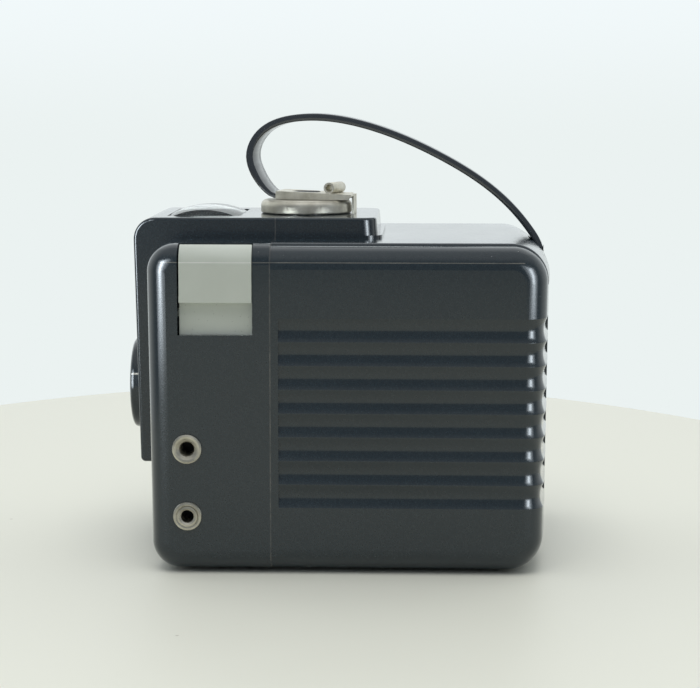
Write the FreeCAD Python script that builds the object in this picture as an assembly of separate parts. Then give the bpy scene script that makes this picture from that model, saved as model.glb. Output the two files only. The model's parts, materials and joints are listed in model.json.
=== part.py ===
"""Box camera with a moulded two-part case, a carry strap and a turning top latch.

Millimetres, +Z up, lens facing -Y, origin in the middle of the base.
Every piece is one solid, or a group of equal solids, written to its own file.
"""
import math
import os
import FreeCAD, Part
from FreeCAD import Vector

os.makedirs("parts", exist_ok=True)

# ---------------------------------------------------------------- main sizes
HALF_WIDTH = 42.0        # side faces of the case
SEAM_Y = -18.5           # joint between front housing and rear cover
DRAFT = 0.011            # lean of the front and rear faces, per mm of height
WALL = 2.4               # moulded wall
BASE_GAP = 0.8           # the case edge stays this far above the table
FOOT_HALF_WIDTH = 31.0   # flat standing pad under both case parts
FOOT_FRONT_Y = -40.0
FOOT_REAR_Y = 41.0
FRONT_FACE_Y = -48.25    # front face at the base
REAR_FACE_Y = 50.45      # middle of the rear face at the base
BOW_RADIUS = 400.0       # rear face, bowed in plan
FRONT_TOP_Z = 82.0
REAR_RIM_Z = 81.4
DECK_Z = 82.0            # raised top deck of the rear cover
DECK_HALF_WIDTH = 36.5
DECK_STEP_Z = 72.0       # lower end of the deck step on the rear face
DECK_STEP = 0.12         # how far the deck stands off the rear face
FRONT_TOP_RADIUS = 7.0
FRONT_BOTTOM_RADIUS = 7.0
REAR_TOP_RADIUS = 8.8
REAR_BOTTOM_RADIUS = 8.8
FRONT_EDGE_RADIUS = 5.0
REAR_EDGE_RADIUS = 5.5

# raised centre band: finder hood in front, latch plinth behind
BAND_HALF_WIDTH = 21.5
BAND_TOP_Z = 87.2
BAND_FRONT_Y = -52.79    # front face of the band, carried down to the base
BAND_DRAFT = 0.022       # lean of the band's front face, per mm of height
BAND_BOTTOM_Z = 24.5
BAND_CORNER_RADIUS = 5.5
BAND_EDGE_RADIUS = 0.7   # side edges of the band
COVE_HEIGHT = 0.8        # low step round the foot of the band
COVE_HALF_WIDTH = 22.3
BAND_REAR_TOP_Y = 7.0
BAND_REAR_BASE_Y = 7.7

# light-trap lip between the two case parts
LIP_REACH = 2.2
LIP_INSET = 1.4
LIP_GAP = 0.15

# flutes on the rear cover
FLUTE_COUNT = 8
FLUTE_TOP_Z = 64.0
FLUTE_PITCH = 5.903
FLUTE_DEPTH = 0.75
FLUTE_LAND = 0.2
FLUTE_START_Y = -16.5
PANEL_HALF_WIDTH = 15.0

# optics
LENS_Z = 42.1
LENS_RING_RADIUS = 11.85
LENS_RING_FRONT_Y = -57.5
RING_FOOT_RADIUS = 11.3       # the foot is let into the case below the straight collar
RING_COLLAR_REAR_Y = -54.3
STOP_RADIUS = 2.75
GATE_HALF = 28.5
GATE_Y = 44.0

# spools for 620 film
SPOOL_FLANGE_RADIUS = 11.3
SPOOL_CORE_RADIUS = 3.6
SPOOL_HALF_LENGTH = 32.2
SUPPLY_Y = -15.5
SUPPLY_Z = 67.4
TAKEUP_Y = -31.0
TAKEUP_Z = 15.0

# latch on top
LATCH_Y = -11.8
LATCH_RADIUS = 11.9
LATCH_BOTTOM_Z = 87.35
LATCH_TOP_Z = 90.75
CLIP_ANGLE = -9.0        # the strap clip sits a little askew, degrees about +Z

# shutter release on the +X side
RELEASE_FRONT_Y = -41.2
RELEASE_REAR_Y = -22.75
RELEASE_LOW_Z = 59.7
RELEASE_PAD_LOW_Z = 67.7
SLIDE_GAP = 0.15

# flash sockets on the +X side
SOCKET_Y = -39.1
PIN_SOCKET_Z = 31.5
SCREW_SOCKET_Z = 14.65

# carry strap
STRAP_WIDTH = 9.6
STRAP_THICKNESS = 1.85
STRAP_TAIL_THICKNESS = 1.2   # skived end inside the clip

X_AXIS = Vector(1, 0, 0)
Y_AXIS = Vector(0, 1, 0)
Z_AXIS = Vector(0, 0, 1)


# ---------------------------------------------------------------- helpers
def box(x0, x1, y0, y1, z0, z1):
    """Axis-aligned block between two corners."""
    return Part.makeBox(x1 - x0, y1 - y0, z1 - z0, Vector(x0, y0, z0))


def rod_x(radius, x0, x1, y, z):
    return Part.makeCylinder(radius, x1 - x0, Vector(x0, y, z), X_AXIS)


def rod_y(radius, y0, y1, x, z):
    return Part.makeCylinder(radius, y1 - y0, Vector(x, y0, z), Y_AXIS)


def rod_z(radius, z0, z1, x, y):
    return Part.makeCylinder(radius, z1 - z0, Vector(x, y, z0), Z_AXIS)


def side_prism(outline, half_width):
    """Block whose (y, z) outline is carried across the camera."""
    points = [Vector(-half_width, y, z) for y, z in outline]
    face = Part.Face(Part.makePolygon(points + [points[0]]))
    return face.extrude(Vector(2 * half_width, 0, 0))


def turned(profile, origin, axis):
    """Solid of revolution from (radius, distance along axis) points."""
    points = [Vector(radius, 0, distance) for radius, distance in profile]
    face = Part.Face(Part.makePolygon(points + [points[0]]))
    solid = face.revolve(Vector(0, 0, 0), Z_AXIS, 360)
    turn = FreeCAD.Rotation(Z_AXIS, axis)
    solid.Placement = FreeCAD.Placement(origin, turn)
    return solid


def round_edges(shape, radius, chosen):
    """Fillet every edge for which chosen(edge) is true."""
    edges = [edge for edge in shape.Edges if chosen(edge)]
    return shape.makeFillet(radius, edges)


def middle(edge):
    return edge.CenterOfMass


def runs_along(edge, axis):
    """True for a straight edge parallel to the axis."""
    if len(edge.Vertexes) < 2:
        return False
    span = edge.Vertexes[1].Point - edge.Vertexes[0].Point
    return span.Length > 0 and abs(span.dot(axis)) > 0.999 * span.Length


def one_solid(shape):
    """The single solid of a clean result."""
    clean = shape.removeSplitter()
    if len(clean.Solids) != 1:
        raise ValueError("expected one solid, found %d" % len(clean.Solids))
    return clean.Solids[0]


def save(name, *solids):
    """Write one piece, or a group of equal pieces, to its file."""
    for solid in solids:
        if not solid.isValid():
            raise ValueError("invalid solid in " + name)
    shape = solids[0] if len(solids) == 1 else Part.makeCompound(list(solids))
    shape.exportStep("parts/" + name + ".step")


def bow_axis_y(rear_y):
    """Plan centre of the bowed rear face whose middle is at rear_y."""
    return rear_y - BOW_RADIUS


def case_block(half_width, low_z, high_z, end_y, radii, bowed):
    """Rounded half of the case from the seam outward to end_y (at the base).

    radii holds the far top, far bottom and side-outline edge radii.  The block
    is built toward +Y.  The front half is mirrored afterwards.
    """
    seam_y = SEAM_Y if bowed else -SEAM_Y
    far_low = end_y + DRAFT * low_z
    far_high = end_y + DRAFT * high_z
    block = side_prism([(seam_y, low_z), (far_low, low_z),
                        (far_high, high_z), (seam_y, high_z)], half_width)
    if bowed:
        lean = Vector(0, DRAFT, 1)
        foot = Vector(0, bow_axis_y(end_y), 0)
        drum = Part.makeCylinder(BOW_RADIUS, high_z + 40, foot - lean * 20, lean)
        drum.rotate(foot, lean, -90)
        block = block.common(drum)
    top_radius, bottom_radius, edge_radius = radii
    near_far_end = end_y - 4

    def far_top(edge):
        at = middle(edge)
        return at.y > near_far_end and at.z > high_z - 0.01 and abs(at.x) < 1

    def far_bottom(edge):
        at = middle(edge)
        return at.y > near_far_end and at.z < low_z + 0.01 and abs(at.x) < 1

    def side_outline(edge):
        on_side = [abs(abs(v.Point.x) - half_width) < 0.001 for v in edge.Vertexes]
        flat = abs(abs(middle(edge).x) - half_width) < 0.001
        return flat and all(on_side) and middle(edge).y > seam_y + 0.01

    block = round_edges(block, top_radius, far_top)
    block = round_edges(block, bottom_radius, far_bottom)
    block = round_edges(block, edge_radius, side_outline)
    if not bowed:
        block = block.mirror(Vector(0, 0, 0), Y_AXIS)
    return block


def front_block(inset):
    """Front half of the case, shrunk by inset (negative grows it)."""
    radii = (FRONT_TOP_RADIUS - inset, FRONT_BOTTOM_RADIUS - inset,
             FRONT_EDGE_RADIUS - inset)
    return case_block(HALF_WIDTH - inset, BASE_GAP + inset, FRONT_TOP_Z - inset,
                      -FRONT_FACE_Y - inset, radii, False)


def rear_block(inset):
    """Rear half of the case, shrunk by inset."""
    radii = (REAR_TOP_RADIUS - inset, REAR_BOTTOM_RADIUS - inset,
             REAR_EDGE_RADIUS - inset)
    return case_block(HALF_WIDTH - inset, BASE_GAP + inset, REAR_RIM_Z - inset,
                      REAR_FACE_Y - inset, radii, True)


def front_band(inset):
    """Finder hood and front band, shrunk by inset, open at the seam."""
    front_low = BAND_FRONT_Y - BAND_DRAFT * BAND_BOTTOM_Z + inset
    front_high = BAND_FRONT_Y - BAND_DRAFT * BAND_TOP_Z + inset
    low = BAND_BOTTOM_Z + inset
    high = BAND_TOP_Z - inset
    outline = [(SEAM_Y, 78.0), (SEAM_Y, high), (front_high, high),
               (front_low, low), (-46.0, low), (-46.0, 78.0)]
    block = side_prism(outline, BAND_HALF_WIDTH - inset)
    corner = BAND_CORNER_RADIUS - inset
    side = BAND_HALF_WIDTH - inset

    def top_front(edge):
        at = middle(edge)
        return at.z > high - 0.01 and at.y < front_high + 0.1

    def bottom_front(edge):
        at = middle(edge)
        return at.z < low + 0.01 and at.y < front_low + 0.1

    def outer_sides(edge):
        at = middle(edge)
        outside = at.z > high - corner - 1 or at.y < front_low + corner
        inner = at.z < high - 0.5 and abs(at.y - SEAM_Y) < 0.01
        return abs(abs(at.x) - side) < 0.001 and outside and not inner

    block = round_edges(block, corner, top_front)
    block = round_edges(block, max(1.2 - inset, 0.6), bottom_front)
    return round_edges(block, max(BAND_EDGE_RADIUS - inset, 0.5), outer_sides)


def rear_band(inset):
    """Latch plinth behind the seam, shrunk by inset."""
    high = BAND_TOP_Z - inset
    side = BAND_HALF_WIDTH - inset
    outline = [(SEAM_Y, 78.0), (SEAM_Y, high), (BAND_REAR_TOP_Y - inset, high),
               (BAND_REAR_BASE_Y - inset, 78.0)]
    block = side_prism(outline, side)

    def rear_corners(edge):
        at = middle(edge)
        return at.y > 5 - inset and abs(abs(at.x) - side) < 0.001 and at.z < high - 0.1

    def top_rim(edge):
        at = middle(edge)
        return at.z > high - 0.001 and at.y > SEAM_Y + 0.01

    block = round_edges(block, 4.0 - inset / 2, rear_corners)
    return round_edges(block, BAND_EDGE_RADIUS, top_rim)


def flute_cutter(z, side):
    """Round bar that cuts one flute along a side, round the corner, onto the back."""
    chord = FLUTE_PITCH - FLUTE_LAND
    bar_radius = chord * chord / (8 * FLUTE_DEPTH) + FLUTE_DEPTH / 2
    offset = bar_radius - FLUTE_DEPTH
    axis_y = bow_axis_y(REAR_FACE_Y + DRAFT * z)
    corner_x = HALF_WIDTH - REAR_EDGE_RADIUS
    reach = BOW_RADIUS - REAR_EDGE_RADIUS
    corner_y = axis_y + math.sqrt(reach * reach - corner_x * corner_x)
    bend = REAR_EDGE_RADIUS + offset
    outward = math.asin(corner_x / reach)
    big = BOW_RADIUS + offset
    end_angle = math.asin(PANEL_HALF_WIDTH / BOW_RADIUS)

    def on_corner(angle):
        return Vector(side * (corner_x + bend * math.cos(angle)),
                      corner_y + bend * math.sin(angle), z)

    def on_back(angle):
        return Vector(side * big * math.sin(angle), axis_y + big * math.cos(angle), z)

    start = Vector(side * (HALF_WIDTH + offset), FLUTE_START_Y, z)
    meet = math.pi / 2 - outward
    straight = Part.makeLine(start, on_corner(0))
    corner = Part.Arc(on_corner(0), on_corner(meet / 2), on_back(outward)).toShape()
    half_way = (outward + end_angle) / 2
    back = Part.Arc(on_back(outward), on_back(half_way), on_back(end_angle)).toShape()
    path = Part.Wire([straight, corner, back])
    circle = Part.makeCircle(bar_radius, start, Y_AXIS)
    return path.makePipeShell([Part.Wire([circle])], True, True)


# ---------------------------------------------------------------- case, front
def case_ring(half_outer, half_inner, y0, y1, top_trim):
    """Thin frame following the case outline, used for the lip and its recess."""
    outer = rear_block(HALF_WIDTH - half_outer)
    inner = rear_block(HALF_WIDTH - half_inner)
    hoop = outer.cut(inner)
    shift = y0 - SEAM_Y
    hoop = hoop.translated(Vector(0, shift, 0))
    hoop = hoop.common(box(-60, 60, y0, y1, -5, 100))
    return hoop.cut(box(-top_trim, top_trim, y0 - 1, y1 + 1, 70, 100))


LENS_BORE_RADIUS = 9.6
LENS_SEAT_Y = -53.1
LENS_BORE_CLEARANCE = 0.05
FINDER_HALF_WIDTH = 9.8
FINDER_LOW_Z = 67.6
FINDER_HIGH_Z = 79.6
TOP_LENS_HALF_WIDTH = 14.4
TOP_LENS_FRONT_Y = -46.7
TOP_LENS_REAR_Y = -28.0
TOP_LENS_GAP = 0.1
CARRIER_BOSSES = [(x, z) for x in (-28.0, 28.0) for z in (34.0, 50.0)]
SHUTTER_BOSSES = [(-15.0, 31.5), (15.0, 31.5), (13.0, 60.0)]
CATCH_BOSS_X = 15.0
CATCH_Y = -22.6
CATCH_LOW_Z = 80.5
CATCH_HIGH_Z = 81.7
CARRIER_PLATE_FRONT_Y = -44.5
SHUTTER_PLATE_FRONT_Y = -48.6
SHUTTER_PLATE_REAR_Y = -47.8
THREAD_RADIUS = 1.0
LEVER_PIVOT_X = 24.0
LEVER_PIVOT_Z = 58.0
KNOB_SHAFT_RADIUS = 2.5
BULB_FRONT_Y = -36.2
BULB_REAR_Y = -28.0
BULB_LOW_Z = 58.0
BULB_HIGH_Z = 70.0

hollow = front_block(WALL).fuse(front_band(WALL))
hollow = hollow.fuse(front_block(WALL).translated(Vector(0, 1, 0)))
cove = front_block(-COVE_HEIGHT)
cove = cove.common(box(-COVE_HALF_WIDTH, COVE_HALF_WIDTH, -60, SEAM_Y,
                       BAND_BOTTOM_Z - COVE_HEIGHT, 90))
foot = box(-FOOT_HALF_WIDTH, FOOT_HALF_WIDTH, FOOT_FRONT_Y, SEAM_Y, 0, BASE_GAP + 1)
front = front_block(0.0).fuse([front_band(0.0), cove, foot]).cut(hollow)
lip = case_ring(HALF_WIDTH - LIP_INSET, HALF_WIDTH - WALL - 0.2,
                SEAM_Y - 1.0, SEAM_Y + LIP_REACH, BAND_HALF_WIDTH + 0.5)
front = front.fuse(lip)

# screw posts moulded inside the front wall
for x, z in CARRIER_BOSSES:
    post = rod_y(3.0, -47.5, CARRIER_PLATE_FRONT_Y, x, z)
    bore = rod_y(THREAD_RADIUS, -46.8, CARRIER_PLATE_FRONT_Y + 1, x, z)
    front = front.fuse(post).cut(bore)
for x, z in SHUTTER_BOSSES:
    post = rod_y(2.2, -52.2, SHUTTER_PLATE_FRONT_Y, x, z)
    bore = rod_y(THREAD_RADIUS * 0.8, -51.0, SHUTTER_PLATE_FRONT_Y + 1, x, z)
    front = front.fuse(post).cut(bore)
for x in (-CATCH_BOSS_X, CATCH_BOSS_X):
    post = rod_z(2.4, CATCH_HIGH_Z, BAND_TOP_Z - 1, x, CATCH_Y)
    bore = rod_z(THREAD_RADIUS * 0.8, CATCH_HIGH_Z - 1, 85.2, x, CATCH_Y)
    front = front.fuse(post).cut(bore)
lever_post = rod_y(2.4, -48.0, -46.0, LEVER_PIVOT_X, LEVER_PIVOT_Z)
lever_bore = rod_y(1.15, -47.6, -45.0, LEVER_PIVOT_X, LEVER_PIVOT_Z)
front = front.fuse(lever_post).cut(lever_bore)

# openings for the optics
front = front.cut(rod_y(LENS_BORE_RADIUS + LENS_BORE_CLEARANCE, -60, -49.5, 0, LENS_Z))
front = front.cut(rod_y(RING_FOOT_RADIUS + LENS_BORE_CLEARANCE, -60, LENS_SEAT_Y, 0,
                        LENS_Z))
front = front.cut(box(-TOP_LENS_HALF_WIDTH - TOP_LENS_GAP, TOP_LENS_HALF_WIDTH + TOP_LENS_GAP,
                      TOP_LENS_FRONT_Y - TOP_LENS_GAP, TOP_LENS_REAR_Y + TOP_LENS_GAP, 83, 90))

# flush face plate and finder bezel let into the band front
PLATE_DEPTH = 0.5
band_skin = front_band(0.0).cut(front_band(0.0).translated(Vector(0, PLATE_DEPTH, 0)))
face_plate = band_skin.common(box(-17.5, 17.5, -60, -50, 28.5, 62.5))
face_plate = face_plate.cut(rod_y(RING_FOOT_RADIUS + 0.1, -60, -40, 0, LENS_Z))
finder_bezel = band_skin.common(box(-12.5, 12.5, -60, -50, 65.4, 80.9))
finder_window = box(-FINDER_HALF_WIDTH, FINDER_HALF_WIDTH, -60, -49.5, FINDER_LOW_Z,
                    FINDER_HIGH_Z)
finder_bezel = finder_bezel.cut(finder_window)
front = front.cut(face_plate).cut(finder_bezel).cut(finder_window)

# release window on the +X side, open over the rounded top edge
WINDOW_TOP_X = 37.4
SLIDE_INNER_X = 39.0
SLIDE_OUTER_X = 40.1
POCKET_OUTER_X = 40.3
window = box(WINDOW_TOP_X, 45, RELEASE_FRONT_Y, RELEASE_REAR_Y, RELEASE_LOW_Z, 90)
slide_pocket = box(SLIDE_INNER_X, POCKET_OUTER_X, RELEASE_FRONT_Y - 0.4,
                   RELEASE_REAR_Y + 0.4, 44.0, 78.5)
front = front.cut(window).cut(slide_pocket)
bulb_window = box(-45, -39, BULB_FRONT_Y, BULB_REAR_Y, BULB_LOW_Z, BULB_HIGH_Z)
bulb_pocket = box(-40.85, -39.0, -39.5, -24.5, 51.5, 78.4)
front = front.cut(bulb_window).cut(bulb_pocket)

# sockets and winding shaft
for z in (PIN_SOCKET_Z, SCREW_SOCKET_Z):
    front = front.cut(rod_x(2.45, 35, 45, SOCKET_Y, z))
front = front.cut(rod_x(KNOB_SHAFT_RADIUS + 0.06, -45, -35, TAKEUP_Y, TAKEUP_Z))
front = one_solid(front)
save("front_housing", front)
save("face_plate", one_solid(face_plate))
save("finder_bezel", one_solid(finder_bezel))

# ---------------------------------------------------------------- case, rear
WINDOW_BOSS_Y = 46.6
WINDOW_SEAT_Y = 49.0
WINDOW_RADIUS = 7.6
STRAP_POCKET_FRONT_Y = 48.1
STRAP_POCKET_REAR_Y = 50.3
SLOT_HALF_WIDTH = 5.3
SLOT_MOUTH_FRONT_Y = 46.4
SLOT_MOUTH_REAR_Y = 50.7
STRAP_PIN_Y = 49.2
STRAP_PIN_Z = 70.0
STRAP_PIN_RADIUS = 1.5

rear_hollow = rear_block(WALL)
rear_hollow = rear_hollow.fuse(rear_hollow.translated(Vector(0, -1, 0)))
plinth_hollow = rear_band(WALL).fuse(rear_band(WALL).translated(Vector(0, -1, 0)))
deck = case_block(DECK_HALF_WIDTH, 0.0, DECK_Z, REAR_FACE_Y + DECK_STEP,
                  (REAR_TOP_RADIUS + 0.4, REAR_BOTTOM_RADIUS, 0.9), True)
deck = deck.common(box(-50, 50, SEAM_Y, 60, DECK_STEP_Z, 100))
plinth_step = box(-COVE_HALF_WIDTH, COVE_HALF_WIDTH, SEAM_Y, BAND_REAR_BASE_Y + COVE_HEIGHT,
                  80, DECK_Z + COVE_HEIGHT)
plinth_step = round_edges(plinth_step, 4.5, lambda e: runs_along(e, Z_AXIS)
                          and middle(e).y > 0)
foot = box(-FOOT_HALF_WIDTH, FOOT_HALF_WIDTH, SEAM_Y, FOOT_REAR_Y, 0, BASE_GAP + 1)
cover = rear_block(0.0).fuse([deck, plinth_step, foot, rear_band(0.0)])
for step in range(FLUTE_COUNT):
    flute_z = FLUTE_TOP_Z - FLUTE_PITCH * (step + 0.5)
    for side in (-1, 1):
        cover = cover.cut(flute_cutter(flute_z, side))
cover = cover.cut(rear_hollow).cut(plinth_hollow)
recess = case_ring(HALF_WIDTH - LIP_INSET + LIP_GAP, HALF_WIDTH - WALL - 1.0,
                   SEAM_Y - 1.0, SEAM_Y + LIP_REACH + LIP_GAP, 0.01)
cover = cover.cut(recess)

# seat for the film-number window in the middle of the back
window_z = LENS_Z
cover = cover.fuse(rod_y(10.0, WINDOW_BOSS_Y, 50.0, 0, window_z))
cover = cover.cut(rod_y(6.0, 40, 60, 0, window_z))
cover = cover.cut(rod_y(WINDOW_RADIUS, 40, WINDOW_SEAT_Y, 0, window_z))

# strap pocket behind the rear top edge
pocket_block = box(-7.5, 7.5, 45.6, 50.0, 64.5, 79.6)
pocket_block = pocket_block.common(rear_block(WALL / 2))
cover = cover.fuse(pocket_block)
cover = cover.cut(box(-SLOT_HALF_WIDTH, SLOT_HALF_WIDTH, STRAP_POCKET_FRONT_Y,
                      STRAP_POCKET_REAR_Y, 66.3, 90))
slot_mouth = side_prism([(STRAP_POCKET_FRONT_Y, 73.5), (SLOT_MOUTH_FRONT_Y, 79.0),
                         (SLOT_MOUTH_FRONT_Y, 90.0), (SLOT_MOUTH_REAR_Y, 90.0),
                         (SLOT_MOUTH_REAR_Y, 78.5), (STRAP_POCKET_REAR_Y, 76.0)],
                        SLOT_HALF_WIDTH)
cover = cover.cut(slot_mouth)
cover = cover.cut(rod_y(STRAP_PIN_RADIUS, 45.0, 50.6, 0, STRAP_PIN_Z))

# latch bore and the notch that stops the clip from turning
cover = cover.cut(rod_z(4.1, 80, 90, 0, LATCH_Y))
clip_turn = FreeCAD.Rotation(Z_AXIS, CLIP_ANGLE)
latch_point = Vector(0, LATCH_Y, 0)


def askew(shape):
    """Turn a clip piece to its resting angle about the latch."""
    turned_shape = shape.copy()
    turned_shape.rotate(latch_point, Z_AXIS, CLIP_ANGLE)
    return turned_shape


TAB_HALF_WIDTH = 2.0
TAB_FRONT_Y = 0.7
TAB_REAR_Y = 1.2
TAB_REACH = 0.7          # how far the tab drops into its notch
notch = box(-TAB_HALF_WIDTH - 0.15, TAB_HALF_WIDTH + 0.15, TAB_FRONT_Y - 0.12,
            TAB_REAR_Y + 0.12, BAND_TOP_Z - TAB_REACH - 0.2, 90)
cover = cover.cut(askew(notch))
cover = one_solid(cover)
save("rear_cover", cover)

red_window = rod_y(WINDOW_RADIUS - 0.05, WINDOW_SEAT_Y - 0.8, WINDOW_SEAT_Y, 0, window_z)
save("red_window", red_window)
window_retainer = turned([(6.2, 0), (WINDOW_RADIUS, 0), (WINDOW_RADIUS, 1.0),
                          (7.0, 1.3), (6.2, 1.0)],
                         Vector(0, WINDOW_SEAT_Y - 0.8, window_z), -Y_AXIS)
save("window_retainer", window_retainer)
strap_pin = rod_y(STRAP_PIN_RADIUS, 45.2, 50.6, 0, STRAP_PIN_Z)
save("strap_pin", strap_pin)

# ---------------------------------------------------------------- latch
HUB_RADIUS = 4.0
HUB_SQUARE_HALF = 2.6
BOLT_LOW_Z = 82.4
BOLT_HIGH_Z = 84.0
RIVET_RADIUS = 1.5
LATCH_GAP = 0.06
DISC_RECESS_RADIUS = 9.5
DISC_RECESS_Z = 87.75    # underside of the disc above its washer

disc = rod_z(LATCH_RADIUS, LATCH_BOTTOM_Z, LATCH_TOP_Z, 0, LATCH_Y)
disc = round_edges(disc, 1.5, lambda e: middle(e).z > LATCH_TOP_Z - 0.01)
disc = round_edges(disc, 0.4, lambda e: middle(e).z < LATCH_BOTTOM_Z + 0.01)
disc = disc.cut(rod_z(DISC_RECESS_RADIUS, LATCH_BOTTOM_Z - 1, DISC_RECESS_Z, 0, LATCH_Y))
disc = disc.fuse(rod_z(HUB_RADIUS, BOLT_HIGH_Z, DISC_RECESS_Z + 0.5, 0, LATCH_Y))
square = box(-HUB_SQUARE_HALF, HUB_SQUARE_HALF, LATCH_Y - HUB_SQUARE_HALF,
             LATCH_Y + HUB_SQUARE_HALF, BOLT_LOW_Z, BOLT_HIGH_Z + 0.2)
disc = disc.fuse(square)
disc = disc.cut(rod_z(RIVET_RADIUS + LATCH_GAP, 80, 95, 0, LATCH_Y))
save("latch_disc", one_solid(disc))

bolt = box(-3.0, 3.0, LATCH_Y - 12.3, LATCH_Y, BOLT_LOW_Z, BOLT_HIGH_Z)
bolt = round_edges(bolt, 2.0, lambda e: runs_along(e, Z_AXIS)
                   and middle(e).y < LATCH_Y - 12)
bolt = bolt.fuse(rod_z(4.6, BOLT_LOW_Z, BOLT_HIGH_Z, 0, LATCH_Y)).cut(square)
save("latch_bolt", one_solid(bolt))

washer = rod_z(8.0, BAND_TOP_Z, BAND_TOP_Z + 0.4, 0, LATCH_Y)
washer = washer.cut(rod_z(4.4, 80, 90, 0, LATCH_Y))
save("latch_washer", washer)

catch_plate = box(-17.4, 17.4, CATCH_Y - 3.4, CATCH_Y + 3.4, CATCH_LOW_Z, CATCH_HIGH_Z)
catch_plate = round_edges(catch_plate, 2.5, lambda e: runs_along(e, Z_AXIS))
catch_screws = []
for x in (-CATCH_BOSS_X, CATCH_BOSS_X):
    catch_plate = catch_plate.cut(rod_z(1.1, 79, 83, x, CATCH_Y))
    head = turned([(0, 0), (1.4, 0), (2.0, 0.5), (2.0, 1.0), (0.8, 1.0), (0.8, 5.0),
                   (0, 5.0)], Vector(x, CATCH_Y, CATCH_LOW_Z - 1.0), Z_AXIS)
    slot = box(x - 3, x + 3, CATCH_Y - 0.25, CATCH_Y + 0.25, 79, CATCH_LOW_Z - 0.6)
    catch_screws.append(one_solid(head.cut(slot)))
save("catch_plate", catch_plate)
save("catch_screws", *catch_screws)

# ---------------------------------------------------------------- strap and clip
CLIP_SHEET = 0.5
CLIP_TOP_Z = 93.06       # top of the sheet at its front end
CLIP_FRONT_Y = -18.8
CLIP_INNER_HALF = 5.15
CLIP_OUTER_HALF = 5.65
CLIP_TILT = 2.3          # the sheet drops toward the rear, degrees
CLIP_LOW_Z = LATCH_TOP_Z + 0.12
CLIP_END_CHAMFER = 0.9
DIMPLE_RADIUS = 3.8
DIMPLE_DEPTH = 0.3
CURL_RADIUS = 1.45
CURL_WALL = 0.5
CURL_Y = -4.3
CURL_HALF_LENGTH = 4.2
CURL_TURN = -10.0        # the curl sits askew on the sheet, degrees
RIVET_HEAD_RADIUS = 3.7
CLIP_CORNER_CUT = 1.6    # trimmed off the far rear corner of the sheet


def sheet_top(y):
    """Height of the tilted sheet's top at a place along the clip."""
    return CLIP_TOP_Z - (y - CLIP_FRONT_Y) * math.tan(math.radians(CLIP_TILT))


clip = box(-CLIP_OUTER_HALF, CLIP_OUTER_HALF, CLIP_FRONT_Y, TAB_REAR_Y,
           CLIP_TOP_Z - CLIP_SHEET, CLIP_TOP_Z)
for side in (-1, 1):
    low = min(side * CLIP_INNER_HALF, side * CLIP_OUTER_HALF)
    clip = clip.fuse(box(low, low + CLIP_SHEET, CLIP_FRONT_Y, TAB_REAR_Y,
                         CLIP_TOP_Z - 3.5, CLIP_TOP_Z - 0.1))
clip = clip.cut(rod_z(DIMPLE_RADIUS, CLIP_TOP_Z - DIMPLE_DEPTH, 95, 0, LATCH_Y))
curl_z = CLIP_TOP_Z + CURL_RADIUS - 0.12
curl = rod_x(CURL_RADIUS, -CURL_HALF_LENGTH, CURL_HALF_LENGTH, CURL_Y, curl_z)
curl = curl.cut(rod_x(CURL_RADIUS - CURL_WALL, -5, 5, CURL_Y, curl_z))
curl.rotate(Vector(0, CURL_Y, 0), Z_AXIS, CURL_TURN)
clip = clip.fuse(curl)
clip.rotate(Vector(0, CLIP_FRONT_Y, CLIP_TOP_Z), X_AXIS, -CLIP_TILT)
clip = clip.cut(box(-8, 8, -25, 5, 85, CLIP_LOW_Z))
clip = clip.cut(side_prism([(TAB_REAR_Y - CLIP_END_CHAMFER, CLIP_LOW_Z - 0.01),
                            (TAB_REAR_Y + 1, CLIP_LOW_Z - 0.01),
                            (TAB_REAR_Y + 1, CLIP_LOW_Z + CLIP_END_CHAMFER + 1)], 8))
clip = clip.cut(box(-8, -TAB_HALF_WIDTH, TAB_REAR_Y - CLIP_CORNER_CUT, 3, 85, 95))
clip = clip.fuse(box(-TAB_HALF_WIDTH, TAB_HALF_WIDTH, TAB_FRONT_Y, TAB_REAR_Y,
                     BAND_TOP_Z - TAB_REACH, sheet_top(TAB_REAR_Y) - 0.15))
clip = clip.cut(rod_z(RIVET_RADIUS, 90, 95, 0, LATCH_Y))
save("strap_clip", one_solid(askew(clip)))

rivet_seat = sheet_top(LATCH_Y - RIVET_HEAD_RADIUS) - DIMPLE_DEPTH + 0.01
rivet = turned([(0, 81.3), (2.8, 81.3), (2.8, 81.9), (RIVET_RADIUS, 82.2),
                (RIVET_RADIUS, rivet_seat), (RIVET_HEAD_RADIUS, rivet_seat),
                (RIVET_HEAD_RADIUS - 0.15, rivet_seat + 0.15), (0, rivet_seat + 0.2)],
               latch_point, Z_AXIS)
save("latch_rivet", rivet)

STRAP_PATH = [  # side view: y, z, sideways offset, turn about +Z in degrees
    (-19.6, 91.75, -1.3, -9.0),
    (-21.4, 93.1, -1.5, -9.0),
    (-24.3, 96.9, -2.0, -9.0),
    (-25.9, 102.2, -2.3, -8.5),
    (-23.2, 108.1, -2.2, -7.0),
    (-13.1, 112.0, -1.3, -3.5),
    (2.3, 110.5, -0.3, -1.0),
    (23.3, 102.1, 0.0, 0.0),
    (39.1, 91.5, 0.0, 0.0),
    (46.5, 83.2, 0.0, 0.0),
    (48.95, 78.7, 0.0, 0.0),
    (49.2, 75.5, 0.0, 0.0)]
STRAP_SECTIONS = 96
STRAP_SWELL_SECTIONS = 7     # sections over which the skived end reaches full thickness
STRAP_CLIP_END_Y = -7.0
STRAP_TAIL_LENGTH = 11.5
STRAP_TAIL_Z = LATCH_TOP_Z + 0.1 + STRAP_TAIL_THICKNESS / 2
STRAP_POCKET_END_Z = 67.0


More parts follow.
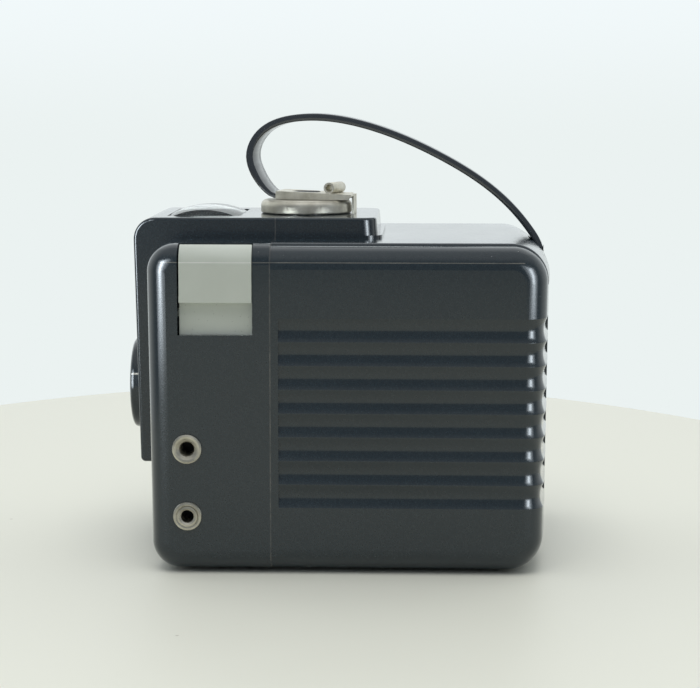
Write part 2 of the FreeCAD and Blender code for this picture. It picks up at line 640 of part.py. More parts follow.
def strap_section(place, along, turn, thickness):
    """Rectangle across the strap, its width turned about +Z by turn degrees."""
    angle = math.radians(turn)
    across = Vector(math.cos(angle), math.sin(angle), 0)
    across = (across - along * across.dot(along)).normalize()
    outward = along.cross(across).normalize()
    corners = []
    for a, b in ((-1, -1), (1, -1), (1, 1), (-1, 1)):
        corners.append(place + across * (a * STRAP_WIDTH / 2)
                       + outward * (b * thickness / 2))
    return Part.makePolygon(corners + [corners[0]])


def strap_turn(at, knot_at):
    """Turn of the strap at a curve parameter, between the turns of its knots."""
    for here, after, one, two in zip(knot_at, knot_at[1:], STRAP_PATH, STRAP_PATH[1:]):
        if here <= at <= after:
            share = (at - here) / (after - here)
            return one[3] + share * (two[3] - one[3])
    return 0.0


def strap_loft():
    """Strap from its end inside the clip round to its end in the rear pocket."""
    knots = [Vector(offset, y, z) for y, z, offset, turn in STRAP_PATH]
    curve = Part.BSplineCurve()
    curve.interpolate(knots)
    first = curve.FirstParameter
    last = curve.LastParameter
    knot_at = [curve.parameter(knot) for knot in knots]
    flat = askew(Part.Vertex(0, STRAP_CLIP_END_Y, STRAP_TAIL_Z)).Point
    ahead = askew(Part.Vertex(0, STRAP_CLIP_END_Y - 1, STRAP_TAIL_Z)).Point
    toward = (ahead - flat).normalize()
    mouth = flat + toward * STRAP_TAIL_LENGTH
    wires = [strap_section(flat, toward, CLIP_ANGLE, STRAP_TAIL_THICKNESS)]
    wires.append(strap_section(mouth, toward, CLIP_ANGLE, STRAP_TAIL_THICKNESS))
    for step in range(1, STRAP_SECTIONS + 1):
        at = first + (last - first) * step / STRAP_SECTIONS
        along = Vector(*curve.tangent(at)[0])
        swell = min(1.0, step / STRAP_SWELL_SECTIONS)
        thickness = STRAP_TAIL_THICKNESS + swell * (STRAP_THICKNESS - STRAP_TAIL_THICKNESS)
        wires.append(strap_section(curve.value(at), along, strap_turn(at, knot_at),
                                   thickness))
    down = Vector(0, 0, -1)
    wires.append(strap_section(Vector(0, STRAP_PIN_Y, STRAP_POCKET_END_Z), down, 0,
                               STRAP_THICKNESS))
    return Part.makeLoft(wires, True, True)


strap = strap_loft()
strap = strap.cut(rod_z(RIVET_RADIUS, 90, 94, 0, LATCH_Y))
strap = strap.cut(rod_y(STRAP_PIN_RADIUS, 47, 51, 0, STRAP_PIN_Z))
save("carry_strap", one_solid(strap))

# ---------------------------------------------------------------- lens group
lens_point = Vector(0, 0, LENS_Z)
ring_profile = [(9.4, -50.8), (LENS_BORE_RADIUS, -50.8), (LENS_BORE_RADIUS, LENS_SEAT_Y),
                (RING_FOOT_RADIUS, LENS_SEAT_Y), (RING_FOOT_RADIUS, RING_COLLAR_REAR_Y),
                (LENS_RING_RADIUS, RING_COLLAR_REAR_Y), (LENS_RING_RADIUS, -56.4),
                (11.7, -56.9), (11.3, -57.25), (10.7, -57.45), (9.9, LENS_RING_FRONT_Y),
                (9.2, -57.3), (7.8, -55.4), (6.4, -55.4), (6.4, -54.4),
                (8.2, -54.4), (8.2, -50.8)]
lens_ring = turned([(r, -y) for r, y in ring_profile], lens_point, -Y_AXIS)
save("lens_ring", one_solid(lens_ring))
cover_glass = rod_y(8.1, -54.4, -53.2, 0, LENS_Z)
save("cover_glass", cover_glass)
glass_retainer = rod_y(8.2, -53.2, -52.4, 0, LENS_Z).cut(rod_y(7.2, -54, -52, 0, LENS_Z))
save("glass_retainer", glass_retainer)

# shutter plate with the aperture stop, held by three screws
PIVOT_X = -8.0
PIVOT_Z = 54.0
BLADE_FRONT_Y = -49.7
BLADE_REAR_Y = -49.3
BLADE_REACH = math.hypot(PIVOT_X, PIVOT_Z - LENS_Z)
plate = box(-17.6, 17.6, SHUTTER_PLATE_FRONT_Y, SHUTTER_PLATE_REAR_Y, 28.8, 62.8)
plate = round_edges(plate, 3.0, lambda e: runs_along(e, Y_AXIS))
plate = plate.cut(rod_y(STOP_RADIUS, -50, -40, 0, LENS_Z))
plate = plate.cut(rod_y(1.0, -50, -40, PIVOT_X, PIVOT_Z))
shutter_screws = []
for x, z in SHUTTER_BOSSES:
    plate = plate.cut(rod_y(0.95, -50, -40, x, z))
    screw = turned([(0, 0), (1.1, 0), (1.7, 0.4), (1.7, 0.8), (0.75, 0.8), (0.75, 2.9),
                    (0, 2.9)], Vector(x, SHUTTER_PLATE_REAR_Y + 0.8, z), -Y_AXIS)
    slot = box(x - 2, x + 2, SHUTTER_PLATE_REAR_Y + 0.45, -40, z - 0.2, z + 0.2)
    shutter_screws.append(one_solid(screw.cut(slot)))
save("shutter_plate", one_solid(plate))
save("shutter_screws", *shutter_screws)

shutter_pivot = turned([(0, 47.8), (1.0, 47.8), (1.0, 50.1), (1.6, 50.1), (1.6, 50.45),
                        (0, 50.45)], Vector(PIVOT_X, 0, PIVOT_Z), -Y_AXIS)
save("shutter_pivot", shutter_pivot)

blade = rod_y(5.5, BLADE_FRONT_Y, BLADE_REAR_Y, 0, LENS_Z)
blade = blade.fuse(rod_y(2.8, BLADE_FRONT_Y, BLADE_REAR_Y, PIVOT_X, PIVOT_Z))
aim = math.degrees(math.atan2(LENS_Z - PIVOT_Z, -PIVOT_X))
arm = box(0, BLADE_REACH, BLADE_FRONT_Y, BLADE_REAR_Y, -2.2, 2.2)
arm.rotate(Vector(0, 0, 0), Y_AXIS, -aim)
arm.translate(Vector(PIVOT_X, 0, PIVOT_Z))
tail = box(0, 9.0, BLADE_FRONT_Y, BLADE_REAR_Y, -1.5, 1.5)
tail.rotate(Vector(0, 0, 0), Y_AXIS, -24)
tail.translate(Vector(PIVOT_X, 0, PIVOT_Z))
blade = blade.fuse([arm, tail]).cut(rod_y(1.06, -51, -48, PIVOT_X, PIVOT_Z))
save("shutter_blade", one_solid(blade))


def coil(mean_radius, wire_radius, length, turns, origin, axis):
    """Round-wire coil spring along an axis."""
    pitch = (length - 2 * wire_radius) / turns
    helix = Part.makeHelix(pitch, pitch * turns, mean_radius)
    start = Part.Wire([Part.makeCircle(wire_radius, Vector(mean_radius, 0, 0), Y_AXIS)])
    spring = Part.Wire(helix.Edges).makePipeShell([start], True, True)
    turn = FreeCAD.Rotation(Z_AXIS, axis)
    foot = origin + axis * wire_radius
    spring.Placement = FreeCAD.Placement(foot, turn)
    return spring


SPRING_WIRE = 0.15
shutter_spring = Part.makeTorus(1.9, SPRING_WIRE, Vector(PIVOT_X, -48.95, PIVOT_Z), Y_AXIS)
spring_leg = rod_x(SPRING_WIRE * 0.8, PIVOT_X - 8.0, PIVOT_X - 1.0, -48.95, PIVOT_Z + 1.9)
shutter_spring = shutter_spring.fuse(spring_leg)
save("shutter_spring", one_solid(shutter_spring))

# meniscus lens in the nose of the film carrier
LENS_FRONT_Y = -42.6
steep_ball = Part.makeSphere(20.0, Vector(0, LENS_FRONT_Y - 16.6, LENS_Z))
shallow_ball = Part.makeSphere(26.0, Vector(0, LENS_FRONT_Y - 24.6, LENS_Z))
meniscus = steep_ball.common(rod_y(7.4, LENS_FRONT_Y - 1, LENS_FRONT_Y + 6, 0, LENS_Z))
meniscus = meniscus.cut(shallow_ball)
save("meniscus_lens", one_solid(meniscus))

# ---------------------------------------------------------------- film carrier
CARRIER_HALF_WIDTH = 34.6
CARRIER_SHEET = 1.4
CHEEK_FRONT_Y = -42.9
CARRIER_LOW_Z = 3.4
CARRIER_HIGH_Z = 78.4
CONE_FRONT_Y = -42.0
CONE_WALL = 1.4
ROLLER_RADIUS = 2.2
ROLLER_Y = 41.0
ROLLER_OFFSET = 33.2
SPOOL_PIN_RADIUS = 1.5


def square_loop(y, half):
    corners = [(-half, -half), (half, -half), (half, half), (-half, half)]
    points = [Vector(x, y, LENS_Z + z) for x, z in corners]
    return Part.makePolygon(points + [points[0]])


gate_front_y = GATE_Y - 2.0
cone_outer = Part.makeLoft([square_loop(CONE_FRONT_Y, 10.0),
                            square_loop(gate_front_y + 1, GATE_HALF + 1.6)], True, True)
cone_inner = Part.makeLoft([square_loop(CONE_FRONT_Y + 3.4, 8.6),
                            square_loop(GATE_Y + 1, GATE_HALF + 0.15)], True, True)
carrier = cone_outer
for side in (-1, 1):
    low = min(side * CARRIER_HALF_WIDTH, side * (CARRIER_HALF_WIDTH - CARRIER_SHEET))
    cheek = box(low, low + CARRIER_SHEET, CHEEK_FRONT_Y, GATE_Y, CARRIER_LOW_Z,
                CARRIER_HIGH_Z)
    cheek = round_edges(cheek, 7.0, lambda e: runs_along(e, X_AXIS))
    carrier = carrier.fuse(cheek)
nose = box(-CARRIER_HALF_WIDTH, CARRIER_HALF_WIDTH, CARRIER_PLATE_FRONT_Y,
           CARRIER_PLATE_FRONT_Y + 1.8, 29.5, 54.0)
gate = box(-CARRIER_HALF_WIDTH, CARRIER_HALF_WIDTH, gate_front_y, GATE_Y,
           LENS_Z - GATE_HALF - 1.6, LENS_Z + GATE_HALF + 1.6)
nose_barrel = rod_y(9.4, CARRIER_PLATE_FRONT_Y, CONE_FRONT_Y + 4.5, 0, LENS_Z)
carrier = carrier.fuse([nose, gate, nose_barrel])
carrier = carrier.cut(cone_inner)
carrier = carrier.cut(rod_y(7.5, -43.4, CONE_FRONT_Y + 6, 0, LENS_Z))
carrier = carrier.cut(rod_y(5.0, -46, CONE_FRONT_Y, 0, LENS_Z))
for x, z in CARRIER_BOSSES:
    carrier = carrier.cut(rod_y(1.15, -46, -41, x, z))
spool_pins = []
for y, z, sides in ((SUPPLY_Y, SUPPLY_Z, (-1, 1)), (TAKEUP_Y, TAKEUP_Z, (1,))):
    for side in sides:
        carrier = carrier.cut(rod_x(SPOOL_PIN_RADIUS, side * 34 - 2, side * 34 + 2, y, z))
        tip = side * (SPOOL_HALF_LENGTH - 2.5)
        head = side * (CARRIER_HALF_WIDTH + 0.8)
        pin = rod_x(SPOOL_PIN_RADIUS, min(tip, head), max(tip, head), y, z)
        cap_low = min(side * CARRIER_HALF_WIDTH, head)
        pin = pin.fuse(rod_x(2.8, cap_low, cap_low + 0.8, y, z))
        spool_pins.append(one_solid(pin))
carrier = carrier.cut(rod_x(3.6, -36, -32, TAKEUP_Y, TAKEUP_Z))
for z in (LENS_Z - ROLLER_OFFSET, LENS_Z + ROLLER_OFFSET):
    carrier = carrier.cut(rod_x(0.86, -40, 40, ROLLER_Y, z))
save("film_carrier", one_solid(carrier))
save("spool_pins", *spool_pins)

lens_retainer = turned([(5.6, 0), (7.5, 0), (7.5, 0.9), (5.6, 0.9)],
                       Vector(0, -38.4, LENS_Z), Y_AXIS)
save("lens_retainer", lens_retainer)

carrier_screws = []
for x, z in CARRIER_BOSSES:
    head_y = CARRIER_PLATE_FRONT_Y + 1.8
    screw = turned([(0, 0), (1.4, 0), (2.1, 0.5), (2.1, 1.1), (0.98, 1.1), (0.98, 5.0),
                    (0, 5.0)], Vector(x, head_y + 1.1, z), -Y_AXIS)
    slot = box(x - 3, x + 3, head_y + 0.65, head_y + 2, z - 0.25, z + 0.25)
    carrier_screws.append(one_solid(screw.cut(slot)))
save("carrier_screws", *carrier_screws)

for name, z in (("upper_roller", LENS_Z + ROLLER_OFFSET),
                ("lower_roller", LENS_Z - ROLLER_OFFSET)):
    roller = rod_x(ROLLER_RADIUS, -32.9, 32.9, ROLLER_Y, z)
    roller = roller.fuse(rod_x(0.8, -34.4, 34.4, ROLLER_Y, z))
    save(name, one_solid(roller))


def spool(y, z):
    """Metal 620 spool: slotted core between two thin flanges."""
    body = rod_x(SPOOL_CORE_RADIUS, -SPOOL_HALF_LENGTH, SPOOL_HALF_LENGTH, y, z)
    for side in (-1, 1):
        low = min(side * SPOOL_HALF_LENGTH, side * (SPOOL_HALF_LENGTH - 0.7))
        flange = rod_x(SPOOL_FLANGE_RADIUS, low, low + 0.7, y, z)
        body = body.fuse(flange)
    body = body.cut(rod_x(SPOOL_PIN_RADIUS + 0.06, -40, 40, y, z))
    key_slot = box(-SPOOL_HALF_LENGTH - 1, -SPOOL_HALF_LENGTH + 2.6, y - 2.7, y + 2.7,
                   z - 0.85, z + 0.85)
    film_slot = box(-24, 24, y - 5, y + 5, z - 0.5, z + 0.5)
    return one_solid(body.cut(key_slot).cut(film_slot))


save("supply_spool", spool(SUPPLY_Y, SUPPLY_Z))
save("takeup_spool", spool(TAKEUP_Y, TAKEUP_Z))

# ---------------------------------------------------------------- winding knob
KNOB_RADIUS = 11.4
KNOB_INNER_X = -43.0
KNOB_OUTER_X = -51.5
knob = rod_x(KNOB_RADIUS, KNOB_OUTER_X, KNOB_INNER_X - 0.4, TAKEUP_Y, TAKEUP_Z)
knob = round_edges(knob, 1.6, lambda e: middle(e).x < KNOB_OUTER_X + 0.01)
knob = knob.cut(rod_x(7.6, KNOB_OUTER_X - 1, KNOB_OUTER_X + 0.7, TAKEUP_Y, TAKEUP_Z))
for step in range(36):
    angle = 2 * math.pi * step / 36
    groove = rod_x(0.6, KNOB_OUTER_X - 1, KNOB_INNER_X - 1.6,
                   TAKEUP_Y + (KNOB_RADIUS + 0.15) * math.cos(angle),
                   TAKEUP_Z + (KNOB_RADIUS + 0.15) * math.sin(angle))
    knob = knob.cut(groove)
knob = knob.cut(rod_x(KNOB_SHAFT_RADIUS, -48.5, -40, TAKEUP_Y, TAKEUP_Z))
save("winding_knob", one_solid(knob))
shaft = rod_x(KNOB_SHAFT_RADIUS, -48.5, -33.0, TAKEUP_Y, TAKEUP_Z)
shaft = shaft.cut(rod_x(3, -38.4, -37.8, TAKEUP_Y, TAKEUP_Z)
                  .cut(rod_x(2.0, -39, -37, TAKEUP_Y, TAKEUP_Z)))
key = box(-33.2, -30.0, TAKEUP_Y - 2.4, TAKEUP_Y + 2.4, TAKEUP_Z - 0.6, TAKEUP_Z + 0.6)
save("winding_shaft", one_solid(shaft.fuse(key)))
clip_ring = rod_x(4.4, -38.38, -37.82, TAKEUP_Y, TAKEUP_Z)
clip_ring = clip_ring.cut(rod_x(2.0, -39, -37, TAKEUP_Y, TAKEUP_Z))
clip_ring = clip_ring.cut(box(-39, -37, TAKEUP_Y - 1.7, TAKEUP_Y + 1.7, TAKEUP_Z,
                              TAKEUP_Z + 6))
save("shaft_clip", one_solid(clip_ring))
knob_washer = rod_x(6.0, -43.38, -42.02, TAKEUP_Y, TAKEUP_Z)
knob_washer = knob_washer.cut(rod_x(2.7, -44, -41, TAKEUP_Y, TAKEUP_Z))
save("knob_washer", knob_washer)

# ---------------------------------------------------------------- release slide
PAD_RISE = 0.35          # the pad stands this far out of the case side
PAD_DEPTH = 1.3
PAD_TOP_X = 39.3         # inner end of the pad over the rounded edge
PAD_FRONT_Y = RELEASE_FRONT_Y + 0.45
PAD_REAR_Y = RELEASE_REAR_Y - SLIDE_GAP
PLATE_FRONT_Y = RELEASE_FRONT_Y + 0.25
PLATE_LOW_Z = 50.0
ARM_LOW_Z = 64.1
ARM_HIGH_Z = 65.7
pad = front_block(-PAD_RISE).cut(front_block(PAD_DEPTH))
pad = pad.common(box(PAD_TOP_X, 45, PAD_FRONT_Y, PAD_REAR_Y, RELEASE_PAD_LOW_Z, 90))
slide_plate = box(SLIDE_INNER_X, SLIDE_OUTER_X, PLATE_FRONT_Y, PAD_REAR_Y, PLATE_LOW_Z, 72.0)
ledge = box(SLIDE_INNER_X, 41.5, PLATE_FRONT_Y, PAD_REAR_Y, RELEASE_PAD_LOW_Z,
            RELEASE_PAD_LOW_Z + 1.6)
push_arm = box(35.4, 38.0, -45.9, -39.0, ARM_LOW_Z, ARM_HIGH_Z)
push_arm = push_arm.fuse(box(37.0, SLIDE_INNER_X + 0.2, -43.0, -39.0, ARM_LOW_Z, ARM_HIGH_Z))
spring_lug = box(34.9, SLIDE_INNER_X + 0.2, -31.6, -28.4, 63.6, 65.0)
button = pad.fuse([slide_plate, ledge, push_arm, spring_lug])
save("shutter_button", one_solid(button))

bulb = box(-40.5, -39.0, -39.2, -24.8, 52.2, 73.0)
nib = box(-43.2, -40.0, BULB_FRONT_Y + 0.5, BULB_REAR_Y - 0.5, 59.0, 62.6)
nib = round_edges(nib, 0.8, lambda e: middle(e).x < -43.19)
save("bulb_lever", one_solid(bulb.fuse(nib)))

guides = []
for side in (-1, 1):
    low = min(side * 37.9, side * 38.6)
    strip = box(low, low + 0.7, -43.6, -21.0, 46.5, 57.6)
    seat_low = min(side * 34.9, side * 38.0)
    seat = box(seat_low, seat_low + 3.1, -31.9, -28.1, 51.0, 51.7)
    foot_low = min(side * 37.9, side * 39.58)
    for y in (-43.6, -22.4):
        strip = strip.fuse(box(foot_low, foot_low + 1.68, y, y + 1.4, 46.5, 57.6))
    if side > 0:
        strip = strip.fuse(seat)
    guides.append(one_solid(strip))
save("release_guide", guides[1])
save("bulb_guide", guides[0])
button_spring = coil(1.2, 0.2, 11.8, 8, Vector(36.3, -30.0, 51.75), Z_AXIS)
save("button_spring", button_spring)

# lever that carries the push across to the shutter
LEVER_FRONT_Y = -45.8
LEVER_REAR_Y = -45.0
lever_outline = [(6.5, 53.6), (24.0, 55.2), (37.0, 60.6), (37.0, 63.4), (33.5, 63.4),
                 (24.0, 60.8), (6.5, 56.4)]
lever_points = [Vector(x, LEVER_FRONT_Y, z) for x, z in lever_outline]
lever = Part.Face(Part.makePolygon(lever_points + [lever_points[0]]))
lever = lever.extrude(Vector(0, LEVER_REAR_Y - LEVER_FRONT_Y, 0))
lever = lever.cut(rod_y(1.21, -47, -44, LEVER_PIVOT_X, LEVER_PIVOT_Z))
save("release_lever", one_solid(lever))
lever_pin = turned([(0, 44.2), (2.2, 44.2), (2.2, 44.9), (1.15, 44.9), (1.15, 47.5),
                    (0, 47.5)], Vector(LEVER_PIVOT_X, 0, LEVER_PIVOT_Z), -Y_AXIS)
save("lever_pin", lever_pin)

# ---------------------------------------------------------------- flash sockets
pin_profile = [(1.67, 36.6), (2.4, 36.6), (2.4, 42.02), (3.5, 42.02), (3.65, 42.3),
               (3.6, 42.7), (3.2, 42.95), (2.7, 42.85), (1.9, 42.2), (1.67, 41.8)]
pin_socket = turned(pin_profile, Vector(0, SOCKET_Y, PIN_SOCKET_Z), X_AXIS)
save("pin_socket", pin_socket)
screw_profile = [(1.55, 36.6), (2.4, 36.6), (2.4, 42.02), (3.4, 42.02), (3.57, 42.3),
                 (3.45, 42.6), (3.0, 42.75), (2.6, 42.6), (2.5, 42.9), (2.1, 43.0),
                 (1.6, 42.6), (1.55, 42.3)]
screw_socket = turned(screw_profile, Vector(0, SOCKET_Y, SCREW_SOCKET_Z), X_AXIS)
save("screw_socket", screw_socket)
nuts = []
contacts = []
for z in (PIN_SOCKET_Z, SCREW_SOCKET_Z):
    corners = [Vector(38.2, SOCKET_Y + 4.2 * math.cos(k * math.pi / 3),
                      z + 4.2 * math.sin(k * math.pi / 3)) for k in range(6)]
    nut = Part.Face(Part.makePolygon(corners + [corners[0]])).extrude(Vector(1.38, 0, 0))
    nuts.append(nut.cut(rod_x(2.4, 35, 45, SOCKET_Y, z)))
    leaf = box(37.7, 38.18, -45.4, SOCKET_Y, z - 2.0, z + 2.0)
    leaf = leaf.fuse(rod_x(3.9, 37.7, 38.18, SOCKET_Y, z))
    leaf = leaf.fuse(box(32.6, 38.18, -45.4, -44.95, z - 2.0, z + 2.0))
    contacts.append(one_solid(leaf.cut(rod_x(2.4, 35, 45, SOCKET_Y, z))))
save("socket_nuts", *nuts)
save("flash_contacts", *contacts)

# ---------------------------------------------------------------- finder
PANE_FRONT_Y = -54.3
PANE_BULGE_RADIUS = 20.0
DOME_TOP_Z = 89.4
DOME_CROSS_RADIUS = 150.0    # slow fall of the dome toward its two ends
LENS_UNDER_Z = 84.8
FRAME_HALF_WIDTH = 16.4
FRAME_OPENING_HALF = 13.0
HOOD_HALF_WIDTH = 15.6
HOOD_WALL = 1.0
HOOD_FRONT_Y = -50.2
HOOD_REAR_Y = -27.4
HOOD_LOW_Z = 64.6
HOOD_HIGH_Z = 83.9
MIRROR_HALF_WIDTH = 14.3
MIRROR_THICKNESS = 1.2

front_pane = box(-9.7, 9.7, PANE_FRONT_Y - 1, -52.0, FINDER_LOW_Z + 0.1, FINDER_HIGH_Z - 0.1)
pane_middle_z = (FINDER_LOW_Z + FINDER_HIGH_Z) / 2
front_pane = front_pane.common(rod_x(PANE_BULGE_RADIUS, -15, 15,
                                     PANE_FRONT_Y + PANE_BULGE_RADIUS, pane_middle_z))
save("finder_front_lens", one_solid(front_pane))


def top_dome():
    """Rectangular finder lens whose top swells in both directions."""
    front_foot = Vector(0, TOP_LENS_FRONT_Y, BAND_TOP_Z)
    rear_foot = Vector(0, TOP_LENS_REAR_Y, BAND_TOP_Z)
    crest = Vector(0, (TOP_LENS_FRONT_Y + TOP_LENS_REAR_Y) / 2, DOME_TOP_Z)
    low = Vector(0, 0, LENS_UNDER_Z - 1.0 - BAND_TOP_Z)
    outline = Part.Wire([Part.Arc(front_foot, crest, rear_foot).toShape(),
                         Part.makeLine(rear_foot, rear_foot + low),
                         Part.makeLine(rear_foot + low, front_foot + low),
                         Part.makeLine(front_foot + low, front_foot)])
    centre = Vector(0, 0, DOME_TOP_Z - DOME_CROSS_RADIUS)
    face = Part.Face(outline)
    face.rotate(centre, Y_AXIS, -7)
    swept = face.revolve(centre, Y_AXIS, 14)
    return swept.common(box(-TOP_LENS_HALF_WIDTH, TOP_LENS_HALF_WIDTH, TOP_LENS_FRONT_Y - 1,
                            TOP_LENS_REAR_Y + 1, LENS_UNDER_Z, 95))


save("finder_top_lens", one_solid(top_dome()))
top_frame = box(-FRAME_HALF_WIDTH, FRAME_HALF_WIDTH, -48.2, -26.5, LENS_UNDER_Z - 0.8,
                LENS_UNDER_Z)
top_frame = round_edges(top_frame, 2.0, lambda e: runs_along(e, Z_AXIS))
top_frame = top_frame.cut(box(-FRAME_OPENING_HALF, FRAME_OPENING_HALF, -45.3, -29.4, 80, 90))
save("finder_top_frame", one_solid(top_frame))

mirror = box(-MIRROR_HALF_WIDTH, MIRROR_HALF_WIDTH, -MIRROR_THICKNESS / 2,
             MIRROR_THICKNESS / 2, -12.0, 12.0)
mirror.rotate(Vector(0, 0, 0), X_AXIS, -45)
mirror.translate(Vector(0, -39.4, 74.9))
save("finder_mirror", mirror)
hood_inner = HOOD_HALF_WIDTH - HOOD_WALL
hood = box(-HOOD_HALF_WIDTH, HOOD_HALF_WIDTH, HOOD_FRONT_Y, HOOD_REAR_Y, HOOD_LOW_Z,
           HOOD_HIGH_Z)
hood = hood.cut(box(-hood_inner, hood_inner, HOOD_FRONT_Y - 2, HOOD_REAR_Y - HOOD_WALL,
                    HOOD_LOW_Z + HOOD_WALL, 86.0))
# sloping rests behind the mirror, one at each end and open between
rest = side_prism([(-46.4, 67.0), (HOOD_REAR_Y, 67.0), (HOOD_REAR_Y, HOOD_HIGH_Z),
                   (-29.8, HOOD_HIGH_Z)], hood_inner)
rest = rest.cut(side_prism([(-43.4, 65.0), (-25.0, 65.0), (-25.0, 83.4)], hood_inner - 1.2))
hood = hood.fuse(rest).cut(mirror).cut(front)
save("finder_box", one_solid(hood))
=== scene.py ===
"""Looks of the box camera: materials, the carry strap, soft studio light and the table."""
import json
import math
import bpy
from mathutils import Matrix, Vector


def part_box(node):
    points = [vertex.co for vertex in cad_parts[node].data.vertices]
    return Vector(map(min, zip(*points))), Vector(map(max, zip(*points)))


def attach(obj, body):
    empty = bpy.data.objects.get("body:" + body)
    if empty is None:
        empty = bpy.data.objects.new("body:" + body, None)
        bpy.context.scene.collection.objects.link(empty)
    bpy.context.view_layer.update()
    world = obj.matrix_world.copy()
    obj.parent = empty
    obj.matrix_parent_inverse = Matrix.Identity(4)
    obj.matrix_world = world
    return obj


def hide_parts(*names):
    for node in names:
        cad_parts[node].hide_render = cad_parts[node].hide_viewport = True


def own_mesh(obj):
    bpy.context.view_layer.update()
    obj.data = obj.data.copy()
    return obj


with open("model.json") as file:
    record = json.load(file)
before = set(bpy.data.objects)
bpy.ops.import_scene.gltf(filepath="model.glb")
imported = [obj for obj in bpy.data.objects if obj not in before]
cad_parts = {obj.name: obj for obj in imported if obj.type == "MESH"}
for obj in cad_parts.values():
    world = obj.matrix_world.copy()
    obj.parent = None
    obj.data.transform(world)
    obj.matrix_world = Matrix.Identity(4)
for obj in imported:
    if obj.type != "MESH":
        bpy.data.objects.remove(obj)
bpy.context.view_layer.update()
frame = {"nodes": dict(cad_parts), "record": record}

MM = 0.001
nodes = frame["nodes"]
scene = bpy.context.scene

CAMERA_PLACE = (0.55586, 0.02011, 0.12260)
CAMERA_YAW = math.radians(2.113)
CAMERA_PITCH = math.radians(7.187)
CAMERA_LENS = 109.08
CAMERA_SENSOR = 36.0

SEAM_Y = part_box("rear_cover")[0][1]        # where the two case parts meet
EDGE_Z = 0.0776                            # height of the pale line on both sides
EDGE_X = 0.0414                            # it starts this far out from the middle
RING_LINE_ABOVE_MIDDLE = 3.7 * MM              # a short pale line painted along the lens ring
RING_LINE_HALF_WIDTH = 0.22 * MM
RING_LINE_INNER_X = 11.0 * MM

TABLE_HALF_X, TABLE_HALF_Y = 0.600, 0.275
TABLE_MIDDLE_X, TABLE_MIDDLE_Y = 0.314, -0.022
TABLE_DEPTH = 0.03
TABLE_RIM = 0.0015
TABLE_STEPS = 128

BACKDROP_LOW = (0.831, 0.888, 0.880, 1.0)
BACKDROP_HIGH = (0.885, 0.945, 0.960, 1.0)
ROOM = (0.27, 0.30, 0.34, 1.0)
CEILING = (0.75, 0.77, 0.79, 1.0)

KEY_POWER = 9.6
BACK_POWER = 1.5
PANEL_COLOUR = (0.84, 0.93, 1.0)
PANEL_WIDTHS = (0.08, 0.18, 0.30)
PANELS = (("left", -0.26, 0.80), ("right", 0.29, 0.44))    # side, place along Y, power


# ---------------------------------------------------------------- camera
def add_camera():
    """Camera at the height and angle that the object is shown from."""
    data = bpy.data.cameras.new("camera")
    data.sensor_width = CAMERA_SENSOR
    data.lens = CAMERA_LENS
    data.clip_start = 0.01
    data.clip_end = 50.0
    item = bpy.data.objects.new("camera", data)
    scene.collection.objects.link(item)
    level = math.cos(CAMERA_PITCH)
    ahead = Vector((-math.cos(CAMERA_YAW) * level, -math.sin(CAMERA_YAW) * level,
                    -math.sin(CAMERA_PITCH)))
    item.location = CAMERA_PLACE
    item.rotation_mode = "QUATERNION"
    item.rotation_quaternion = ahead.to_track_quat("-Z", "Y")
    scene.camera = item


add_camera()


